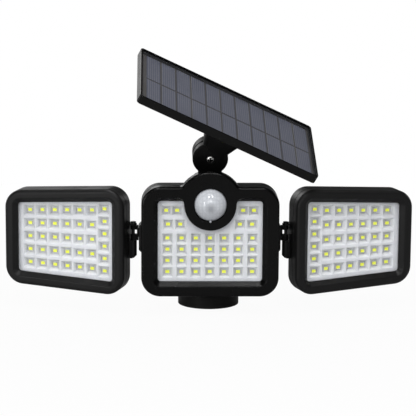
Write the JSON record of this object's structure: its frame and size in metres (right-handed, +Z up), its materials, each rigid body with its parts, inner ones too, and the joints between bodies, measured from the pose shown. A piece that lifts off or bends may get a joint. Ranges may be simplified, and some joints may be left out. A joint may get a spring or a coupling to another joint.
{
  "type": "solar floodlight",
  "caption": "Solar floodlight with swivelling LED heads on a round foot, a motion sensor dome and a tilting solar panel on a knuckle neck.",
  "frame": {"origin": "centre of the round foot's underside", "axes": "+Z up out of the foot, -Y the way the lamp faces, +X to the right seen from the front"},
  "size_m": [0.3238, 0.1068, 0.2044],
  "materials": {
    "black_plastic": "fine satin moulded surface",
    "dark_plastic": "plain moulded",
    "steel": "zinc plated",
    "clear_cover": "clear polished",
    "white_reflector": "satin white moulded cups",
    "led_board": "white solder mask",
    "led": "phosphor yellow",
    "seal": "silicone",
    "sensor_lens": "translucent white faceted lens",
    "circuit_board": "solder mask",
    "battery_sleeve": "shrink sleeve",
    "backing_sheet": "laminate board",
    "solar_cell": "dark silicon strips",
    "panel_sheet": "clear resin sheet"
  },
  "bodies": {
    "foot": {"mounting_foot": "black_plastic"},
    "turntable": {"base_stem": "black_plastic", "base_retainer_screw": "steel", "base_tilt_screw": "steel", "base_tilt_nut": "steel"},
    "centre_head": {"centre_bezel": "black_plastic", "centre_housing": "black_plastic", "centre_cover": "clear_cover", "centre_reflector": "white_reflector", "centre_led_board": "led_board", "centre_leds": "led", "centre_seal": "seal", "centre_case_screws": "steel", "sensor_dome": "sensor_lens", "sensor_can": "steel", "sensor_board": "circuit_board", "control_board": "circuit_board", "control_screws": "steel", "switch_body": "dark_plastic", "battery_cell": "battery_sleeve"},
    "button": {"switch_button": "black_plastic"},
    "left_hinge": {"left_yoke": "black_plastic", "left_yoke_retainer_screw": "steel"},
    "right_hinge": {"right_yoke": "black_plastic", "right_yoke_retainer_screw": "steel"},
    "left_head": {"left_bezel": "black_plastic", "left_housing": "black_plastic", "left_cover": "clear_cover", "left_reflector": "white_reflector", "left_led_board": "led_board", "left_leds": "led", "left_seal": "seal", "left_case_screws": "steel", "left_swivel_pin": "steel"},
    "right_head": {"right_bezel": "black_plastic", "right_housing": "black_plastic", "right_cover": "clear_cover", "right_reflector": "white_reflector", "right_led_board": "led_board", "right_leds": "led", "right_seal": "seal", "right_case_screws": "steel", "right_swivel_pin": "steel"},
    "neck": {"panel_neck": "black_plastic", "neck_retainer_screw": "steel", "knuckle_screw": "steel", "knuckle_nut": "steel"},
    "panel": {"panel_pedestal": "black_plastic", "panel_frame": "black_plastic", "panel_backing": "backing_sheet", "solar_cells": "solar_cell", "panel_glass": "panel_sheet", "pedestal_screws": "steel"}
  },
  "joints": [
    {"name": "base_swivel", "type": "hinge", "parent": "foot", "child": "turntable", "pos_m": [0, 0, 0.011], "axis": [0, 0, 1], "range_deg": [-90, 90]},
    {"name": "base_tilt", "type": "hinge", "parent": "turntable", "child": "centre_head", "pos_m": [0, 0, 0.022], "axis": [1, 0, 0], "range_deg": [-90, 0]},
    {"name": "button_press", "type": "slide", "parent": "centre_head", "child": "button", "axis": [0, -1, 0], "range_m": [0, 0.0015], "stiffness_N_per_m": 900, "springref_m": -0.001},
    {"name": "left_tilt", "type": "hinge", "parent": "centre_head", "child": "left_hinge", "pos_m": [-0.058, -0.0245, 0.0624], "axis": [1, 0, 0], "range_deg": [-30, 30]},
    {"name": "left_swivel", "type": "hinge", "parent": "left_hinge", "child": "left_head", "pos_m": [-0.0603, -0.0245, 0.0624], "axis": [0, 0, -1], "range_deg": [-30, 35]},
    {"name": "right_tilt", "type": "hinge", "parent": "centre_head", "child": "right_hinge", "pos_m": [0.058, -0.0245, 0.0624], "axis": [1, 0, 0], "range_deg": [-30, 30]},
    {"name": "right_swivel", "type": "hinge", "parent": "right_hinge", "child": "right_head", "pos_m": [0.0603, -0.0245, 0.0624], "axis": [0, 0, 1], "range_deg": [-30, 35]},
    {"name": "panel_swivel", "type": "hinge", "parent": "centre_head", "child": "neck", "pos_m": [0, -0.0208, 0.1028], "axis": [0, 0, 1], "range_deg": [-90, 90]},
    {"name": "panel_tilt", "type": "hinge", "parent": "neck", "child": "panel", "pos_m": [0, -0.02507, 0.12417], "axis": [0, 0.9483, 0.3173], "range_deg": [-53, 0]}
  ]
}
